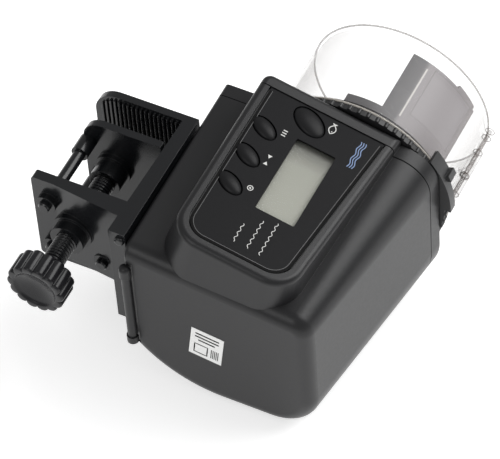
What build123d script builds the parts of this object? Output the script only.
"""Automatic fish feeder: housing, feed drum and tank-rim clamp.

Millimetres. +X runs along the drum axis from the drum to the housing's plain end face, +Z is up, and
the clamp is on the -Y side. The origin is the middle of the flat that the housing rests on.
"""
import math
import os

from build123d import *

os.makedirs("parts", exist_ok=True)

# Housing
AXIS_Z = 43.5            # drum axis above the resting flat
RING_X = -39.6           # drum-end face of the end ring
SEAM_X = -34.4           # joint between end ring and main shell
END_X = 40.5             # plain end face
BACK_Y = -48.3           # clamp-side wall
WALL = 2.4
SEAM_GAP = 0.35          # visible groove between end ring and main shell
END_EDGE_R = 5.5         # rounding of the plain end face, not beside the clamp
BOSSES = ((-43.0, 18.0), (-43.0, -18.0), (27.0, 8.0), (27.0, -18.0))
BOSS_R = 3.6
BOSS_LENGTH = 9.0
SCREW_CORE_R = 1.1       # self-tapping screws of the ring
SCREW_HEAD_R = 2.2
SCREW_HEAD_T = 1.8
HEAD_SINK = 2.2
SLOT_NECK = 8.0          # T-slot that takes the clamp
SLOT_HEAD = 14.0
SLOT_HEAD_T = 3.4
SLOT_TOP = 14.0
SLOT_BLOCK = (19.0, 7.6)
DOOR_X = (-20.0, 35.0)   # battery door opening
DOOR_Y = (-21.8, 10.0)
DOOR_R = 3.0
DOOR_GAP = 0.25
GRIP_DEPTH = 0.7
ROD_X = 41.2             # round corner rod beside the clamp
ROD_Y = -47.4
ROD_R = 1.75
ROD_CAP_R = 2.2
ROD_SPAN = (-23.6, 18.3)
LABEL_CENTRE = (-18.2, -12.4)
LABEL_SIZE = (12.6, 15.4)

# Control panel, tilted about X
PANEL_TILT = 13.5
PANEL_D = 34.8           # distance of the panel's top plane from the drum axis
FASCIA_DROP = 0.5        # fascia surface below the rim
FASCIA_T = 0.9
POCKET_DEPTH = FASCIA_DROP + FASCIA_T
TOP_WALL = 1.6           # wall under the fascia
LCD_X = -3.5
LCD_S = -11.2
LCD_LENGTH = 33.2
LCD_WIDTH = 14.9
BUTTON_S = -30.4
BUTTON_X = {"mode": -17.7, "adjust": -4.6, "set": 8.9}
BUTTON_SIZE = (11.0, 6.6)
FEED_AT = (-28.4, -18.1)
FEED_SIZE = (14.0, 8.8)
BUTTON_SLANT = 62.0
BUTTON_CLEARANCE = 0.25
BUTTON_TRAVEL = 1.0
BOARD_DEPTH = 12.2
BOARD_T = 1.6
BOARD_SIZE = (60.0, 36.0)
BOARD_CENTRE = (1.0, -14.5)
POSTS = ((-26.0, -29.5), (28.0, -29.5), (-26.0, 0.5), (28.0, 0.5))
WINDOW = (36.2, 18.0)
SWITCH_HEIGHT = 3.6
PLUNGER_HEIGHT = 0.5
FEED_SWITCH = (-26.2, -18.1)

# Drum
DRUM_R = 35.0
DRUM_WALL = 1.3
DRUM_FAR_X = -81.8
FLANGE_X = -42.0
FLANGE_T = 1.2
FLANGE_R = 36.7
HINGE_R = 37.25          # drum axis to the door's hinge pin
HINGE_ANGLE = 3.5
KNUCKLE_R = 1.9
PIN_R = 0.8
FIT = 0.05               # radial running clearance
RING_BACK = RING_X - 0.4
HINGE_AT = (HINGE_R * math.cos(math.radians(HINGE_ANGLE)), HINGE_R * math.sin(math.radians(HINGE_ANGLE)))
DOOR_SPAN_X = (-77.0, -45.2)
DOOR_ANGLES = (-50.0, -1.0)
FILL_X = (-74.5, -47.5)
FILL_ANGLES = (-46.5, -5.0)
SLOT_X = (-74.0, -52.0)
SLOT_ANGLES = (26.0, 59.0)
DRUM_KNUCKLES = ((-77.0, -73.5), (-54.6, -45.6))
DOOR_KNUCKLE = (-66.4, -54.8)
KNURLS = 64
LATCH_REACH = 2.8        # latch beyond the drum flange
LATCH_ANGLES = (16.0, 36.0)
SLIDER_R = DRUM_R - DRUM_WALL - 0.5
SLIDER_X = -76.0
SLIDER_LENGTH = 27.0
SLIDER_TAB_X = -77.4
SLIDER_TAB_ANGLES = (22.0, 40.0)

# Gear pair
MODULE = 0.8
GEAR_TEETH = 42
PINION_TEETH = 12
CENTRE_DISTANCE = MODULE * (GEAR_TEETH + PINION_TEETH) / 2
GEAR_X = -37.2
GEAR_T = 3.0
PLATE_X = -32.6          # gearbox plate, drum side
PLATE_T = 1.6
PLATE_BACK = PLATE_X + PLATE_T
PLATE_SCREWS = ((-34.0, 17.0), (-34.0, -17.0), (20.0, 17.0), (20.0, -17.0))
MOTOR_Y = -CENTRE_DISTANCE
MOTOR_SHAFT_R = 1.5
MAGNET_Y = 13.0
MAGNET_R = 2.0
AXLE_R = 3.0             # drum axle through the gearbox plate

# Clamp
SPINE_Y = -49.1          # spine face towards the housing
SPINE_T = 5.0
CLAMP_TOP = 28.6         # above the drum axis
CLAMP_LOW = -11.0
SPINE_LOW = -19.0
FIXED_JAW_X = -20.6
FIXED_TIP_Y = -89.5
JAW_T = 2.8
MOVING_JAW_X = -6.5
MOVING_TIP_Y = -86.8
NUT_PLATE_X = 22.4
NUT_PLATE_T = 3.8
NUT_TIP_Y = -91.2
NUT_PLATE_LOW = -13.5
SPINE_END_X = 36.4
RIB_PITCH = 1.75
RIB_WIDTH = 0.8
RIB_HEIGHT = 0.8
RIB_MARGIN = 1.4
SCREW_Y = -75.5
SCREW_Z = 8.0            # above the drum axis
SCREW_R = 4.0
GUIDE_RODS = ((-85.0, 18.4), (-84.6, -4.5), (-64.5, -3.6))
GUIDE_R = 2.2
SLEEVE_R = 3.2
SLEEVE_LENGTH = 7.0
GUIDE_BOSS_T = 2.4
JAW_BOSS_LENGTH = 8.0
LOBES = 14
KNOB_X = 47.0
KNOB_T = 9.5
KNOB_R = 11.3

# Batteries (two AA cells)
CELL_R = 7.1
CELL_LENGTH = 50.0
CELL_X = -17.0
CELL_Y = (-13.5, 1.6)
CELL_Z = -32.4


def across(x):
    """Plane at X = x with local x along +Y and local y up, centred on the drum axis."""
    return Plane(origin=(x, 0, AXIS_Z), x_dir=(0, 1, 0), z_dir=(1, 0, 0))


def panel(depth=0.0):
    """Plane parallel to the control panel, depth below its rim: local x along +X, local y down-slope."""
    tilt = math.radians(PANEL_TILT)
    out = (0, math.sin(tilt), math.cos(tilt))
    reach = PANEL_D - depth
    return Plane(origin=(0, reach * out[1], AXIS_Z + reach * out[2]), x_dir=(1, 0, 0), z_dir=out)


def level(z):
    """Horizontal plane at z above the drum axis."""
    return Plane.XY.offset(AXIS_Z + z)


def save(piece, name):
    """Label a finished piece and write its STEP file."""
    piece.part.label = name
    export_step(piece.part, f"parts/{name}.step")


def housing_section(x, side_y, top_z, shoulder_z, shoulder_r, corner_r, flat_y, low_z, inset=0.0):
    """Cross-section of the housing without its control plateau."""
    with BuildSketch(across(x)) as section:
        with BuildLine():
            Polyline((flat_y, -AXIS_Z), (side_y, -AXIS_Z), (side_y, shoulder_z), (BACK_Y, top_z),
                     (BACK_Y, low_z))
            TangentArc((flat_y, -AXIS_Z), (BACK_Y, low_z), tangent=(-1, 0))
        make_face()
        right = section.vertices().group_by(Axis.X)[-1].sort_by(Axis.Y)
        fillet(right[-1], shoulder_r)
        right = section.vertices().group_by(Axis.X)[-1].sort_by(Axis.Y)
        fillet(right[0], corner_r)
        if inset:
            offset(amount=-inset, kind=Kind.INTERSECTION)
    return section.sketch


def plateau_outline(depth, grow, inset=0.0, near_x=RING_X):
    """Outline of the raised control plateau at a depth below its rim."""
    left = -40.0 - grow + inset
    far = 38.2 + grow * 0.7 - inset
    right_near = 12.5 + grow - inset
    right_far = 6.2 + grow - inset
    with BuildSketch(panel(depth)) as outline:
        with BuildLine():
            Polyline((near_x, left), (far, left), (far, right_far), (near_x, right_near), close=True)
        make_face()
        fillet(outline.vertices().group_by(Axis.X)[-1], 11.0 + grow - inset)
        fillet(outline.vertices().group_by(Axis.X)[0].sort_by(Axis.Y)[0], 3.0 + grow - inset)
    return outline.sketch


def fascia_outline(depth, inset=0.0, near_x=SEAM_X):
    """Outline of the inlaid fascia and of the pocket it lies in."""
    left = -36.4 + inset
    far = 34.6 - inset
    with BuildSketch(panel(depth)) as outline:
        with BuildLine():
            Polyline((near_x, left), (far, left), (far, 2.6 - inset), (near_x, 9.0 - inset), close=True)
        make_face()
        fillet(outline.vertices().group_by(Axis.X)[-1], 8.0 - inset)
    return outline.sketch


def oval(depth, centre, size, grow=0.0):
    """Slanted oval used for the buttons and their holes."""
    with BuildSketch(panel(depth)) as shape:
        with Locations(Location((*centre, 0), (0, 0, BUTTON_SLANT))):
            Ellipse(size[0] / 2 + grow, size[1] / 2 + grow)
    return shape.sketch


# ---------------------------------------------------------------- housing solids
drum_end = dict(side_y=34.2, top_z=28.3, shoulder_z=27.0, shoulder_r=14.0, corner_r=23.0, flat_y=-12.0,
                low_z=-25.5)
plain_end = dict(side_y=21.6, top_z=27.0, shoulder_z=17.6, shoulder_r=7.5, corner_r=17.0, flat_y=-14.0,
                 low_z=-27.5)
outer_sections = [housing_section(RING_X, **drum_end), housing_section(END_X, **plain_end)]
inner_sections = [
    housing_section(RING_X + WALL, **drum_end, inset=WALL),
    housing_section(END_X - WALL, **plain_end, inset=WALL),
]
plateau_sections = [plateau_outline(0.0, 0.0), plateau_outline(22.0, 2.6)]
plateau_hollow = [
    plateau_outline(POCKET_DEPTH + TOP_WALL, 0.5, inset=WALL, near_x=RING_X + WALL),
    plateau_outline(24.0, 2.8, inset=WALL, near_x=RING_X + WALL),
]

with BuildPart() as lower_form:
    loft(outer_sections, ruled=True)
    end_edges = lower_form.faces().sort_by(Axis.X)[-1].edges()
    fillet(end_edges.filter_by(lambda edge: edge.center().Y > BACK_Y + 0.1), END_EDGE_R)
    strip_middle = (0, BACK_Y, AXIS_Z + (drum_end["top_z"] + plain_end["top_z"]) / 2)
    fillet(lower_form.edges().sort_by_distance(strip_middle)[0], 1.8)

with BuildPart() as plateau_form:
    loft(plateau_sections, ruled=True)
    rim = plateau_form.faces().sort_by(Axis(panel().origin, panel().z_dir))[-1]
    fillet(rim.edges().filter_by(lambda edge: edge.center().X > RING_X + 0.5), 2.2)

with BuildPart() as hollow:
    loft(inner_sections, ruled=True)
    loft(plateau_hollow, ruled=True)


with BuildPart() as housing_form:
    add(lower_form.part)
    add(plateau_form.part)

# ---------------------------------------------------------------- shell and end ring
with BuildPart() as slot_block:
    with BuildSketch(level(16.0)):
        with Locations((0, BACK_Y + 4.0)):
            Rectangle(*SLOT_BLOCK)
    extrude(amount=-60.0)
    add(lower_form.part, mode=Mode.INTERSECT)

with BuildPart() as main_shell:
    add(housing_form.part)
    split(bisect_by=Plane.YZ.offset(SEAM_X + SEAM_GAP), keep=Keep.TOP)
    add(hollow.part, mode=Mode.SUBTRACT)
    add(slot_block.part)
    with BuildSketch(level(-60.0)):
        with Locations((0, BACK_Y)):
            Rectangle(SLOT_NECK, 8.0)
        with Locations((0, BACK_Y + 4.0)):
            Rectangle(SLOT_HEAD, SLOT_HEAD_T)
    extrude(amount=60.0 + SLOT_TOP, mode=Mode.SUBTRACT)
    with BuildSketch(across(SEAM_X + SEAM_GAP + 0.2)):
        with Locations(*BOSSES):
            Circle(BOSS_R)
            Circle(SCREW_CORE_R, mode=Mode.SUBTRACT)
    extrude(amount=BOSS_LENGTH)
    with BuildSketch(panel(POCKET_DEPTH + TOP_WALL)):
        with Locations(*POSTS):
            Circle(2.4)
            Circle(0.8, mode=Mode.SUBTRACT)
    extrude(amount=-(BOARD_DEPTH - POCKET_DEPTH - TOP_WALL))
    extrude(fascia_outline(POCKET_DEPTH), amount=6.0, mode=Mode.SUBTRACT)
    with BuildSketch(panel(POCKET_DEPTH + TOP_WALL)):
        with Locations((LCD_X, LCD_S)):
            Rectangle(*WINDOW)
    extrude(amount=4.0, mode=Mode.SUBTRACT)
    for at in [(x, BUTTON_S) for x in BUTTON_X.values()]:
        extrude(oval(POCKET_DEPTH + TOP_WALL, at, BUTTON_SIZE, BUTTON_CLEARANCE), amount=4.0,
                mode=Mode.SUBTRACT)
    extrude(oval(POCKET_DEPTH + TOP_WALL, FEED_AT, FEED_SIZE, BUTTON_CLEARANCE), amount=4.0,
            mode=Mode.SUBTRACT)
    with BuildSketch(level(-50.0)):
        with Locations(((DOOR_X[0] + DOOR_X[1]) / 2, (DOOR_Y[0] + DOOR_Y[1]) / 2)):
            RectangleRounded(DOOR_X[1] - DOOR_X[0], DOOR_Y[1] - DOOR_Y[0], DOOR_R)
    extrude(amount=12.0, mode=Mode.SUBTRACT)
    with BuildSketch(level(ROD_SPAN[0] - 3.0)):
        with Locations((ROD_X, ROD_Y)):
            Circle(ROD_CAP_R + 0.4)
    extrude(amount=ROD_SPAN[1] - ROD_SPAN[0] + 4.0, mode=Mode.SUBTRACT)
save(main_shell, "main_shell")

with BuildPart() as end_ring:
    add(housing_form.part)
    split(bisect_by=Plane.YZ.offset(SEAM_X), keep=Keep.BOTTOM)
    add(hollow.part, mode=Mode.SUBTRACT)
    with BuildSketch(across(SEAM_X)):
        with Locations(*BOSSES):
            Circle(BOSS_R)
    extrude(amount=-(SEAM_X - RING_X))
    with BuildSketch(across(PLATE_X)):
        with Locations(*PLATE_SCREWS):
            Circle(3.0)
            Circle(1.0, mode=Mode.SUBTRACT)
    extrude(amount=-(PLATE_X - RING_X) + 1.0)
    with BuildSketch(across(RING_X)):
        with Locations(*BOSSES):
            Circle(1.4)
        Circle(5.0 + FIT)
    extrude(amount=10.0, mode=Mode.SUBTRACT)
    with BuildSketch(across(RING_X)):
        with Locations(*BOSSES):
            Circle(SCREW_HEAD_R + 0.3)
    extrude(amount=HEAD_SINK, mode=Mode.SUBTRACT)
save(end_ring, "end_ring")


# ---------------------------------------------------------------- battery bay
with BuildPart() as battery_door:
    with BuildSketch(level(-AXIS_Z)):
        with Locations(((DOOR_X[0] + DOOR_X[1]) / 2, (DOOR_Y[0] + DOOR_Y[1]) / 2)):
            RectangleRounded(DOOR_X[1] - DOOR_X[0] - 2 * DOOR_GAP, DOOR_Y[1] - DOOR_Y[0] - 2 * DOOR_GAP,
                             DOOR_R - DOOR_GAP)
    extrude(amount=12.0)
    add(lower_form.part, mode=Mode.INTERSECT)
    add(hollow.part, mode=Mode.SUBTRACT)
    with BuildSketch(level(-AXIS_Z)):
        with GridLocations(3.0, 0, 4, 1):
            with Locations((22.0, -6.0)):
                SlotOverall(14.0, 1.4, rotation=90)
    extrude(amount=GRIP_DEPTH, mode=Mode.SUBTRACT)
save(battery_door, "battery_door")

TRAY_X = (-23.4, 35.4)
TRAY_Y = (-22.2, 10.3)
with BuildPart() as battery_tray:
    with BuildSketch(level(-38.6)):
        with Locations(((TRAY_X[0] + TRAY_X[1]) / 2, (TRAY_Y[0] + TRAY_Y[1]) / 2)):
            RectangleRounded(TRAY_X[1] - TRAY_X[0], TRAY_Y[1] - TRAY_Y[0], 1.5)
    extrude(amount=15.4)
    with BuildSketch(level(-38.6)):
        with Locations(((TRAY_X[0] + TRAY_X[1]) / 2, (TRAY_Y[0] + TRAY_Y[1]) / 2)):
            Rectangle(TRAY_X[1] - TRAY_X[0] - 2.6, TRAY_Y[1] - TRAY_Y[0] - 2.6)
    extrude(amount=13.6, mode=Mode.SUBTRACT)
save(battery_tray, "battery_tray")

with BuildPart() as battery_cells:
    for y, nub_at_end in zip(CELL_Y, (True, False)):
        start = CELL_X + (0.0 if nub_at_end else 1.2)
        with BuildSketch(across(start)):
            with Locations((y, CELL_Z)):
                Circle(CELL_R)
        extrude(amount=CELL_LENGTH - 1.2)
        with BuildSketch(across(CELL_X if not nub_at_end else CELL_X + CELL_LENGTH - 1.2)):
            with Locations((y, CELL_Z)):
                Circle(2.6)
        extrude(amount=1.2)
save(battery_cells, "battery_cells")

with BuildPart() as contact_plates:
    for x in (TRAY_X[0] + 1.3, TRAY_X[1] - 1.3 - 0.4):
        with BuildSketch(across(x)):
            for y in CELL_Y:
                with Locations((y, CELL_Z)):
                    RectangleRounded(11.0, 10.0, 1.0)
        extrude(amount=0.4)
save(contact_plates, "contact_plates")

SPRING_X = TRAY_X[0] + 1.7
SPRING_WIRE_R = 0.35
with BuildPart() as contact_springs:
    for y in CELL_Y:
        with BuildLine() as coil:
            Helix(pitch=1.5, height=CELL_X - SPRING_X - 2 * SPRING_WIRE_R - 0.1, radius=3.4,
                  center=(SPRING_X + SPRING_WIRE_R + 0.05, y, AXIS_Z + CELL_Z), direction=(1, 0, 0))
        with BuildSketch(Plane(origin=coil.line @ 0, z_dir=coil.line % 0)):
            Circle(SPRING_WIRE_R)
        sweep(path=coil.line)
save(contact_springs, "contact_springs")

# ---------------------------------------------------------------- panel pieces
with BuildPart() as fascia:
    extrude(fascia_outline(POCKET_DEPTH, inset=0.5, near_x=SEAM_X + 0.15), amount=FASCIA_T)
    with BuildSketch(panel(POCKET_DEPTH)):
        with Locations((LCD_X, LCD_S)):
            RectangleRounded(LCD_LENGTH, LCD_WIDTH, 0.6)
    extrude(amount=2.0, mode=Mode.SUBTRACT)
    for at in [(x, BUTTON_S) for x in BUTTON_X.values()]:
        extrude(oval(POCKET_DEPTH, at, BUTTON_SIZE, BUTTON_CLEARANCE), amount=2.0, mode=Mode.SUBTRACT)
    extrude(oval(POCKET_DEPTH, FEED_AT, FEED_SIZE, BUTTON_CLEARANCE), amount=2.0, mode=Mode.SUBTRACT)
save(fascia, "fascia")

with BuildPart() as lcd_lens:
    with BuildSketch(panel(POCKET_DEPTH)):
        with Locations((LCD_X, LCD_S)):
            Rectangle(WINDOW[0] - 0.3, WINDOW[1] - 0.3)
    extrude(amount=-1.2)
save(lcd_lens, "lcd_lens")

with BuildPart() as lcd_module:
    with BuildSketch(panel(POCKET_DEPTH + TOP_WALL + 0.1)):
        with Locations((LCD_X, LCD_S)):
            Rectangle(37.2, 21.0)
    extrude(amount=-3.0)
    with BuildSketch(panel(POCKET_DEPTH + TOP_WALL + 0.1)):
        with Locations((LCD_X, LCD_S)):
            Rectangle(WINDOW[0] - 0.6, WINDOW[1] - 0.6)
    extrude(amount=0.3)
save(lcd_module, "lcd_module")

with BuildPart() as circuit_board:
    with BuildSketch(panel(BOARD_DEPTH)):
        with Locations(BOARD_CENTRE):
            RectangleRounded(*BOARD_SIZE, 1.5)
        with Locations(*POSTS):
            Circle(1.1, mode=Mode.SUBTRACT)
    extrude(amount=-BOARD_T)
save(circuit_board, "circuit_board")

with BuildPart() as board_screws:
    with BuildSketch(panel(BOARD_DEPTH + BOARD_T)):
        with Locations(*POSTS):
            Circle(1.9)
    extrude(amount=-1.4)
    with BuildSketch(panel(BOARD_DEPTH + BOARD_T)):
        with Locations(*POSTS):
            Circle(0.8)
    extrude(amount=7.0)
save(board_screws, "board_screws")

SWITCH_AT = [(x, BUTTON_S) for x in BUTTON_X.values()] + [FEED_SWITCH]
with BuildPart() as tact_switches:
    with BuildSketch(panel(BOARD_DEPTH)):
        with Locations(*SWITCH_AT):
            Rectangle(6.0, 6.0)
    extrude(amount=SWITCH_HEIGHT)
    with BuildSketch(panel(BOARD_DEPTH - SWITCH_HEIGHT)):
        with Locations(*SWITCH_AT):
            Circle(1.7)
    extrude(amount=PLUNGER_HEIGHT)
save(tact_switches, "tact_switches")

STEM_DEPTH = BOARD_DEPTH - SWITCH_HEIGHT - PLUNGER_HEIGHT - BUTTON_TRAVEL - 0.1


def make_button(at, size, stem_at):
    """Domed oval cap with a retaining flange and a stem over its switch."""
    wall_base = POCKET_DEPTH + TOP_WALL
    with BuildPart() as button:
        extrude(oval(wall_base + 0.3, at, size), amount=wall_base + 0.3 + 0.8)
        top = button.faces().sort_by(Axis(panel().origin, panel().z_dir))[-1]
        fillet(top.edges(), 1.5)
        extrude(oval(wall_base + 0.3, at, size, 0.9), amount=-1.0)
        with BuildSketch(panel(wall_base + 1.3)):
            with Locations(stem_at):
                Circle(1.8)
        extrude(amount=-(STEM_DEPTH - wall_base - 1.3))
    return button


mode_button = make_button((BUTTON_X["mode"], BUTTON_S), BUTTON_SIZE, (BUTTON_X["mode"], BUTTON_S))
save(mode_button, "mode_button")
adjust_button = make_button((BUTTON_X["adjust"], BUTTON_S), BUTTON_SIZE, (BUTTON_X["adjust"], BUTTON_S))
save(adjust_button, "adjust_button")
set_button = make_button((BUTTON_X["set"], BUTTON_S), BUTTON_SIZE, (BUTTON_X["set"], BUTTON_S))
save(set_button, "set_button")
feed_button = make_button(FEED_AT, FEED_SIZE, FEED_SWITCH)
save(feed_button, "feed_button")

with BuildPart() as rating_label:
    with BuildSketch(across(END_X)):
        with Locations(Location((*LABEL_CENTRE, 0), (0, 0, -8.0))):
            Rectangle(*LABEL_SIZE)
    extrude(amount=0.15)
save(rating_label, "rating_label")

with BuildPart() as corner_rod:
    with BuildSketch(level(ROD_SPAN[0])):
        with Locations((ROD_X, ROD_Y)):
            Circle(ROD_R)
    extrude(amount=ROD_SPAN[1] - ROD_SPAN[0] - ROD_CAP_R)
    with BuildSketch(level(ROD_SPAN[1] - 5.4)):
        with Locations((ROD_X, ROD_Y)):
            Circle(ROD_CAP_R)
    extrude(amount=5.4)
    fillet(corner_rod.edges().group_by(Axis.Z)[-1], ROD_CAP_R - 0.3)
    with BuildSketch(level(ROD_SPAN[0])):
        with Locations((ROD_X, ROD_Y)):
            Circle(ROD_CAP_R)
    extrude(amount=3.2)
    with BuildSketch(level(ROD_SPAN[0] + 4.0)):
        with Locations((ROD_X - 0.9, ROD_Y + 1.1)):
            Rectangle(1.2, 3.6, rotation=40)
    extrude(amount=30.0)
    add(lower_form.part, mode=Mode.SUBTRACT)
save(corner_rod, "corner_rod")

with BuildPart() as ring_screws:
    with BuildSketch(across(RING_X + HEAD_SINK)):
        with Locations(*BOSSES):
            Circle(SCREW_HEAD_R)
    extrude(amount=-SCREW_HEAD_T)
    with BuildSketch(across(RING_X + HEAD_SINK)):
        with Locations(*BOSSES):
            Circle(SCREW_CORE_R)
    extrude(amount=11.0)
save(ring_screws, "ring_screws")


# ---------------------------------------------------------------- drive
def gear_profile(teeth, addendum):
    """Points of an involute gear outline, with a tooth centred on local +X."""
    pitch_r = MODULE * teeth / 2
    base_r = pitch_r * math.cos(math.radians(20.0))
    tip_r = pitch_r + addendum * MODULE
    root_r = pitch_r - 1.2 * MODULE
    backlash = 0.06

    def roll(r):
        angle = math.acos(min(1.0, base_r / r))
        return math.tan(angle) - angle

    half_tooth = math.pi / (2 * teeth) - backlash / pitch_r
    points = []
    radii = [max(root_r, base_r) + (tip_r - max(root_r, base_r)) * k / 4 for k in range(5)]
    for tooth in range(teeth):
        middle = 2 * math.pi * tooth / teeth
        flank = [(r, half_tooth + roll(pitch_r) - roll(r)) for r in radii]
        if root_r < base_r:
            flank.insert(0, (root_r, flank[0][1]))
        side = [(r, middle - a) for r, a in flank] + [(r, middle + a) for r, a in reversed(flank)]
        points += [(r * math.cos(a), r * math.sin(a)) for r, a in side]
    return points


HALF_PITCH = 180.0 / PINION_TEETH

with BuildPart() as drum_gear:
    with BuildSketch(across(GEAR_X)):
        with BuildLine():
            Polyline(*gear_profile(GEAR_TEETH, 0.85), close=True)
        make_face()
        Circle(4.0, mode=Mode.SUBTRACT)
        with Locations((0, MAGNET_Y)):
            Circle(MAGNET_R, mode=Mode.SUBTRACT)
        with PolarLocations(9.2, 5, start_angle=18):
            Circle(2.6, mode=Mode.SUBTRACT)
    extrude(amount=GEAR_T)
save(drum_gear, "drum_gear")

with BuildPart() as home_magnet:
    with BuildSketch(across(GEAR_X + 0.5)):
        with Locations((0, MAGNET_Y)):
            Circle(MAGNET_R)
    extrude(amount=GEAR_T - 0.5)
save(home_magnet, "home_magnet")

with BuildPart() as motor_pinion:
    with BuildSketch(Plane(origin=(GEAR_X, MOTOR_Y, AXIS_Z), x_dir=(0, 1, 0), z_dir=(1, 0, 0))):
        with BuildLine():
            turned = [
                (x * math.cos(math.radians(HALF_PITCH)) - y * math.sin(math.radians(HALF_PITCH)),
                 x * math.sin(math.radians(HALF_PITCH)) + y * math.cos(math.radians(HALF_PITCH)))
                for x, y in gear_profile(PINION_TEETH, 0.9)
            ]
            Polyline(*turned, close=True)
        make_face()
        Circle(MOTOR_SHAFT_R, mode=Mode.SUBTRACT)
    extrude(amount=GEAR_T + 0.4)
save(motor_pinion, "motor_pinion")

with BuildPart() as motor_shaft:
    with BuildSketch(across(GEAR_X)):
        with Locations((MOTOR_Y, 0)):
            Circle(MOTOR_SHAFT_R)
    extrude(amount=12.0)
save(motor_shaft, "motor_shaft")

with BuildPart() as gearbox_plate:
    with BuildSketch(across(PLATE_X)):
        with Locations((-8.0, 0)):
            RectangleRounded(60.0, 42.0, 3.0)
        with Locations(*PLATE_SCREWS):
            Circle(1.2, mode=Mode.SUBTRACT)
        with Locations((MOTOR_Y, 0)):
            Circle(2.2, mode=Mode.SUBTRACT)
        Circle(AXLE_R + FIT, mode=Mode.SUBTRACT)
    extrude(amount=PLATE_T)
save(gearbox_plate, "gearbox_plate")

with BuildPart() as gearbox_screws:
    with BuildSketch(across(PLATE_BACK)):
        with Locations(*PLATE_SCREWS):
            Circle(2.0)
    extrude(amount=1.5)
    with BuildSketch(across(PLATE_BACK)):
        with Locations(*PLATE_SCREWS):
            Circle(1.0)
    extrude(amount=-5.0)
save(gearbox_screws, "gearbox_screws")

with BuildPart() as gear_motor:
    with BuildSketch(across(PLATE_BACK)):
        with Locations((MOTOR_Y, 0)):
            Circle(11.8)
    extrude(amount=9.0)
    with BuildSketch(across(PLATE_BACK + 9.0)):
        with Locations((MOTOR_Y, 0)):
            Circle(10.0)
    extrude(amount=18.0)
    chamfer(gear_motor.edges().filter_by(GeomType.CIRCLE).group_by(Axis.X)[-1], 1.2)
    with BuildSketch(across(PLATE_BACK + 27.0)):
        with Locations((MOTOR_Y, 0)):
            Circle(2.2)
    extrude(amount=2.4)
    with BuildSketch(across(PLATE_BACK)):
        with Locations((MOTOR_Y, 0)):
            Circle(MOTOR_SHAFT_R + FIT)
    extrude(amount=8.0, mode=Mode.SUBTRACT)
save(gear_motor, "gear_motor")

with BuildPart() as home_sensor:
    with BuildSketch(across(PLATE_BACK)):
        with Locations((0, MAGNET_Y)):
            Rectangle(13.0, 4.0)
    extrude(amount=2.6)
save(home_sensor, "home_sensor")


# ---------------------------------------------------------------- drum
def polar(r, angle):
    """Point (y, z) about the drum axis."""
    return (r * math.cos(math.radians(angle)), r * math.sin(math.radians(angle)))


def sector(inner_r, outer_r, start, end):
    """Ring sector, angles in degrees from +Y towards +Z."""
    middle = (start + end) / 2
    with BuildSketch() as wedge:
        with BuildLine():
            ThreePointArc(polar(outer_r, start), polar(outer_r, middle), polar(outer_r, end))
            Line(polar(outer_r, end), polar(inner_r, end))
            ThreePointArc(polar(inner_r, end), polar(inner_r, middle), polar(inner_r, start))
            Line(polar(inner_r, start), polar(outer_r, start))
        make_face()
    return wedge.sketch_local


with BuildPart() as drum:
    with BuildSketch(across(DRUM_FAR_X)):
        Circle(DRUM_R)
    extrude(amount=FLANGE_X - DRUM_FAR_X)
    fillet(drum.edges().group_by(Axis.X)[0], 0.6)
    with BuildSketch(across(FLANGE_X - FLANGE_T)):
        Circle(FLANGE_R)
    extrude(amount=FLANGE_T)
    for start, end in DRUM_KNUCKLES:
        with BuildSketch(across(start)):
            with Locations(HINGE_AT):
                Circle(KNUCKLE_R)
            with BuildLine():
                Polyline(polar(DRUM_R - 0.4, HINGE_ANGLE - 1.0), polar(HINGE_R - 0.3, HINGE_ANGLE - 1.2),
                         polar(HINGE_R + 1.2, HINGE_ANGLE + 2.4), polar(DRUM_R - 0.4, HINGE_ANGLE + 7.0),
                         close=True)
            make_face()
        extrude(amount=end - start)
        with BuildSketch(across(start)):
            with Locations(HINGE_AT):
                Circle(PIN_R)
        extrude(amount=end - start, mode=Mode.SUBTRACT)
    with BuildSketch(across(DRUM_FAR_X + 1.4)):
        Circle(DRUM_R - DRUM_WALL)
    extrude(amount=FLANGE_X - DRUM_FAR_X, mode=Mode.SUBTRACT)
    with BuildSketch(across(FILL_X[0])):
        add(sector(DRUM_R - 4.0, DRUM_R + 2.0, *FILL_ANGLES))
    extrude(amount=FILL_X[1] - FILL_X[0], mode=Mode.SUBTRACT)
    with BuildSketch(across(SLOT_X[0])):
        add(sector(DRUM_R - 4.0, DRUM_R + 2.0, *SLOT_ANGLES))
    extrude(amount=SLOT_X[1] - SLOT_X[0], mode=Mode.SUBTRACT)
save(drum, "drum")

with BuildPart() as hinge_pin:
    with BuildSketch(across(DRUM_KNUCKLES[0][0])):
        with Locations(HINGE_AT):
            Circle(PIN_R)
    extrude(amount=DRUM_KNUCKLES[1][1] - DRUM_KNUCKLES[0][0])
save(hinge_pin, "hinge_pin")

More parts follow.
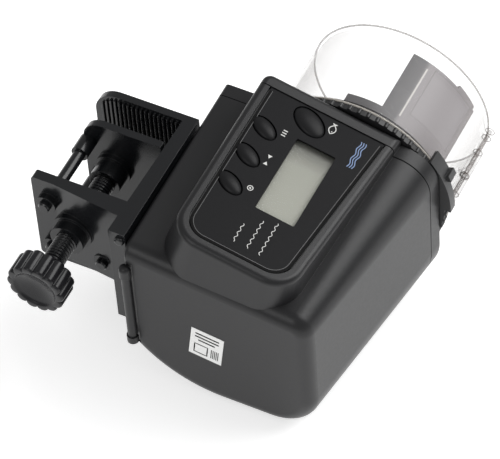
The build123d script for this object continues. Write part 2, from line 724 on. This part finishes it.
with BuildPart() as fill_door:
    with BuildSketch(across(DOOR_SPAN_X[0])):
        add(sector(DRUM_R + 0.3, DRUM_R + 1.6, *DOOR_ANGLES))
    extrude(amount=DOOR_SPAN_X[1] - DOOR_SPAN_X[0])
    with BuildSketch(across(-66.0)):
        add(sector(DRUM_R + 0.3, DRUM_R + 4.0, DOOR_ANGLES[0] - 2.5, DOOR_ANGLES[0]))
    extrude(amount=12.0)
    with BuildSketch(across(DOOR_KNUCKLE[0])):
        with Locations(HINGE_AT):
            Circle(KNUCKLE_R)
        with BuildLine():
            Polyline(polar(DRUM_R + 0.4, DOOR_ANGLES[1] - 0.5), polar(DRUM_R + 1.6, DOOR_ANGLES[1] - 0.5),
                     polar(HINGE_R + 1.4, HINGE_ANGLE - 1.6), polar(HINGE_R - 1.2, HINGE_ANGLE - 1.6),
                     close=True)
        make_face()
    extrude(amount=DOOR_KNUCKLE[1] - DOOR_KNUCKLE[0])
    with BuildSketch(across(DOOR_KNUCKLE[0])):
        with Locations(HINGE_AT):
            Circle(PIN_R + FIT)
    extrude(amount=DOOR_KNUCKLE[1] - DOOR_KNUCKLE[0], mode=Mode.SUBTRACT)
save(fill_door, "fill_door")

with BuildPart() as drum_coupling:
    with BuildSketch(across(FLANGE_X)):
        Circle(36.2)
        with PolarLocations(36.1, KNURLS):
            Circle(0.75)
    extrude(amount=RING_BACK - FLANGE_X)
    with BuildSketch(across(FLANGE_X - 3.5)):
        Circle(DRUM_R - DRUM_WALL - FIT)
        Circle(DRUM_R - DRUM_WALL - 2.0, mode=Mode.SUBTRACT)
    extrude(amount=3.5)
    with BuildSketch(across(FLANGE_X)):
        Circle(5.0)
    extrude(amount=GEAR_X - FLANGE_X - 0.1)
    with BuildSketch(across(GEAR_X - 0.1)):
        Circle(4.0)
    extrude(amount=GEAR_T + 0.9)
    with BuildSketch(across(GEAR_X + GEAR_T + 0.8)):
        Circle(AXLE_R)
    extrude(amount=PLATE_BACK + 2.2 - GEAR_X - GEAR_T - 0.8)
    with BuildSketch(across(FLANGE_X - FLANGE_T - LATCH_REACH)):
        add(sector(FLANGE_R + 0.3, FLANGE_R + 1.8, *LATCH_ANGLES))
    extrude(amount=RING_BACK - FLANGE_X + FLANGE_T + LATCH_REACH)
    with BuildSketch(across(FLANGE_X - 1.6)):
        add(sector(FLANGE_R + 0.3, FLANGE_R + 1.8, -2.0, LATCH_ANGLES[0]))
    extrude(amount=RING_BACK - FLANGE_X + 1.6)
    with BuildSketch(across(FLANGE_X - FLANGE_T - LATCH_REACH - 0.9)):
        add(sector(FLANGE_R + 0.3, FLANGE_R + 3.0, LATCH_ANGLES[0] + 2.5, LATCH_ANGLES[0] + 6.5))
    extrude(amount=4.5)
    with BuildSketch(across(FLANGE_X + 0.1)):
        add(sector(35.0, FLANGE_R + 1.0, -2.0, LATCH_ANGLES[1]))
    extrude(amount=RING_BACK - FLANGE_X - 0.1)
save(drum_coupling, "drum_coupling")

with BuildPart() as shaft_clip:
    with BuildSketch(across(PLATE_BACK + 0.3)):
        Circle(5.2)
        Circle(AXLE_R, mode=Mode.SUBTRACT)
    extrude(amount=0.9)
save(shaft_clip, "shaft_clip")

with BuildPart() as portion_slider:
    with BuildSketch(across(SLIDER_X)):
        add(sector(SLIDER_R - 1.4, SLIDER_R, 20.0, 66.0))
    extrude(amount=SLIDER_LENGTH)
    with BuildSketch(across(SLIDER_X)):
        add(sector(SLIDER_R - 4.2, SLIDER_R, 64.5, 75.5))
    extrude(amount=SLIDER_LENGTH)
    with BuildSketch(across(SLIDER_X + SLIDER_LENGTH - 0.4)):
        add(sector(SLIDER_R - 1.8, SLIDER_R, 12.0, 98.5))
    extrude(amount=3.4)
    with BuildSketch(across(SLIDER_TAB_X)):
        add(sector(SLIDER_R - 6.5, SLIDER_R, *SLIDER_TAB_ANGLES))
    extrude(amount=2.7)
    with BuildSketch(across(SLIDER_TAB_X - 0.4)):
        add(sector(SLIDER_R - 4.6, SLIDER_R - 1.6, SLIDER_TAB_ANGLES[0] + 4.0, SLIDER_TAB_ANGLES[1] - 4.0))
    extrude(amount=4.0, mode=Mode.SUBTRACT)
save(portion_slider, "portion_slider")

# ---------------------------------------------------------------- clamp
def jaw_plate(tip_y, root_y, corner_r, low_z=CLAMP_LOW, inset=0.0):
    """Outline of a jaw in the YZ plane with its two free corners rounded."""
    with BuildSketch() as plate:
        with Locations(((tip_y + inset + root_y) / 2, (CLAMP_TOP + low_z) / 2)):
            Rectangle(root_y - tip_y - inset, CLAMP_TOP - low_z - 2 * inset)
        fillet(plate.vertices().group_by(Axis.X)[0], corner_r - inset)
    return plate.sketch_local


def jaw_ribs(tip_y, root_y, corner_r, middle_y, count):
    """Upright ribs that stop just inside the outline of a jaw."""
    with BuildSketch() as ribs:
        with Locations((middle_y, (CLAMP_TOP + CLAMP_LOW) / 2)):
            with GridLocations(RIB_PITCH, 1, count, 1):
                Rectangle(RIB_WIDTH, CLAMP_TOP - CLAMP_LOW)
        add(jaw_plate(tip_y, root_y, corner_r, inset=RIB_MARGIN), mode=Mode.INTERSECT)
    return ribs.sketch_local


NUT_FACE_X = NUT_PLATE_X + NUT_PLATE_T
with BuildPart() as clamp_frame:
    with BuildSketch(level(SPINE_LOW)):
        with BuildLine():
            Polyline((FIXED_JAW_X, SPINE_Y), (SPINE_END_X, SPINE_Y), (SPINE_END_X, SPINE_Y - SPINE_T - 1.4),
                     (FIXED_JAW_X, SPINE_Y - SPINE_T), close=True)
        make_face()
    extrude(amount=CLAMP_TOP - SPINE_LOW)
    with BuildSketch(across(FIXED_JAW_X)):
        add(jaw_plate(FIXED_TIP_Y, SPINE_Y - 1.0, 10.0))
    extrude(amount=JAW_T)
    with BuildSketch(across(FIXED_JAW_X + JAW_T)):
        add(jaw_ribs(FIXED_TIP_Y, SPINE_Y - SPINE_T, 10.0, -70.5, 19))
    extrude(amount=RIB_HEIGHT)
    with BuildSketch(across(NUT_PLATE_X)):
        add(jaw_plate(NUT_TIP_Y, SPINE_Y - 1.0, 1.5, NUT_PLATE_LOW))
    extrude(amount=NUT_PLATE_T)
    with BuildSketch(level(CLAMP_LOW)):
        with BuildLine():
            Polyline((NUT_FACE_X - 0.1, NUT_TIP_Y + 8.0), (NUT_FACE_X - 0.1, SPINE_Y - 3.0),
                     (NUT_FACE_X + 3.5, SPINE_Y - 3.0), close=True)
        make_face()
    extrude(amount=CLAMP_TOP - CLAMP_LOW)
    with BuildSketch(across(NUT_FACE_X - 0.2)):
        with Locations((SCREW_Y, SCREW_Z)):
            Circle(7.6)
    extrude(amount=2.8)
    with BuildSketch(across(NUT_FACE_X + 2.4)):
        with Locations((SCREW_Y, SCREW_Z)):
            Circle(6.4)
    extrude(amount=4.2)
    with BuildSketch(across(NUT_FACE_X - 0.2)):
        with Locations(*GUIDE_RODS):
            Circle(GUIDE_R + 1.6)
    extrude(amount=GUIDE_BOSS_T + 0.2)
    with BuildSketch(across(NUT_PLATE_X - 1.0)):
        with Locations((SCREW_Y, SCREW_Z)):
            Circle(SCREW_R + FIT)
        with Locations(*GUIDE_RODS):
            Circle(GUIDE_R + FIT)
    extrude(amount=18.0, mode=Mode.SUBTRACT)
    with BuildSketch(level(-17.0)):
        with Locations((0, SPINE_Y + 1.8)):
            Rectangle(SLOT_NECK - 0.5, 3.8)
        with Locations((0, BACK_Y + 4.0)):
            Rectangle(SLOT_HEAD - 0.5, SLOT_HEAD_T - 0.5)
    extrude(amount=17.0 + SLOT_TOP - 0.5)
    with BuildSketch(across(SPINE_END_X - 0.1)):
        with Locations((SPINE_Y - 2.0, CLAMP_TOP - 3.4)):
            Circle(1.9)
    extrude(amount=1.5)
    fillet(clamp_frame.edges().filter_by(GeomType.CIRCLE).group_by(Axis.X)[-1], 0.9)
save(clamp_frame, "clamp_frame")

MOVING_FACE_X = MOVING_JAW_X + JAW_T
with BuildPart() as moving_jaw:
    with BuildSketch(across(MOVING_JAW_X)):
        add(jaw_plate(MOVING_TIP_Y, SPINE_Y - SPINE_T - 1.6, 8.0))
    extrude(amount=JAW_T)
    with BuildSketch(across(MOVING_JAW_X)):
        add(jaw_ribs(MOVING_TIP_Y, SPINE_Y - SPINE_T - 1.6, 8.0, -71.25, 17))
    extrude(amount=-RIB_HEIGHT)
    with BuildSketch(across(MOVING_FACE_X)):
        with Locations((SCREW_Y, SCREW_Z)):
            Circle(7.0)
    extrude(amount=2.0)
    with BuildSketch(across(MOVING_FACE_X + 2.0)):
        with Locations((SCREW_Y, SCREW_Z)):
            Circle(6.0)
    extrude(amount=JAW_BOSS_LENGTH - 2.0)
    with BuildSketch(across(MOVING_FACE_X)):
        with Locations((SCREW_Y, SCREW_Z)):
            Circle(SCREW_R + FIT)
    extrude(amount=JAW_BOSS_LENGTH, mode=Mode.SUBTRACT)
save(moving_jaw, "moving_jaw")

with BuildPart() as guide_rods:
    with BuildSketch(across(MOVING_FACE_X)):
        with Locations(*GUIDE_RODS):
            Circle(SLEEVE_R)
    extrude(amount=SLEEVE_LENGTH)
    with BuildSketch(across(MOVING_FACE_X)):
        with Locations(*GUIDE_RODS):
            Circle(GUIDE_R)
    extrude(amount=NUT_FACE_X + GUIDE_BOSS_T + 1.8 - MOVING_FACE_X)
    chamfer(guide_rods.edges().group_by(Axis.X)[-1], 0.5)
save(guide_rods, "guide_rods")

with BuildPart() as clamp_screw:
    with BuildSketch(across(MOVING_FACE_X + 0.2)):
        with Locations((SCREW_Y, SCREW_Z)):
            Circle(SCREW_R)
    extrude(amount=KNOB_X + 5.0 - MOVING_FACE_X - 0.2)
save(clamp_screw, "clamp_screw")

with BuildPart() as clamp_knob:
    with BuildSketch(Plane(origin=(KNOB_X, SCREW_Y, AXIS_Z + SCREW_Z), x_dir=(0, 1, 0), z_dir=(1, 0, 0))):
        Circle(KNOB_R - 1.5)
        with PolarLocations(KNOB_R - 1.8, LOBES):
            Circle(1.8)
    extrude(amount=KNOB_T)
    with BuildSketch(Plane(origin=(KNOB_X, SCREW_Y, AXIS_Z + SCREW_Z), x_dir=(0, 1, 0), z_dir=(1, 0, 0))):
        Circle(6.0)
    extrude(amount=-2.0)
    with BuildSketch(Plane(origin=(KNOB_X + KNOB_T, SCREW_Y, AXIS_Z + SCREW_Z), x_dir=(0, 1, 0),
                           z_dir=(1, 0, 0))):
        Circle(KNOB_R - 2.6)
    extrude(amount=-1.4, taper=25.0, mode=Mode.SUBTRACT)
    with BuildSketch(across(KNOB_X - 2.0)):
        with Locations((SCREW_Y, SCREW_Z)):
            Circle(SCREW_R)
    extrude(amount=7.0, mode=Mode.SUBTRACT)
save(clamp_knob, "clamp_knob")
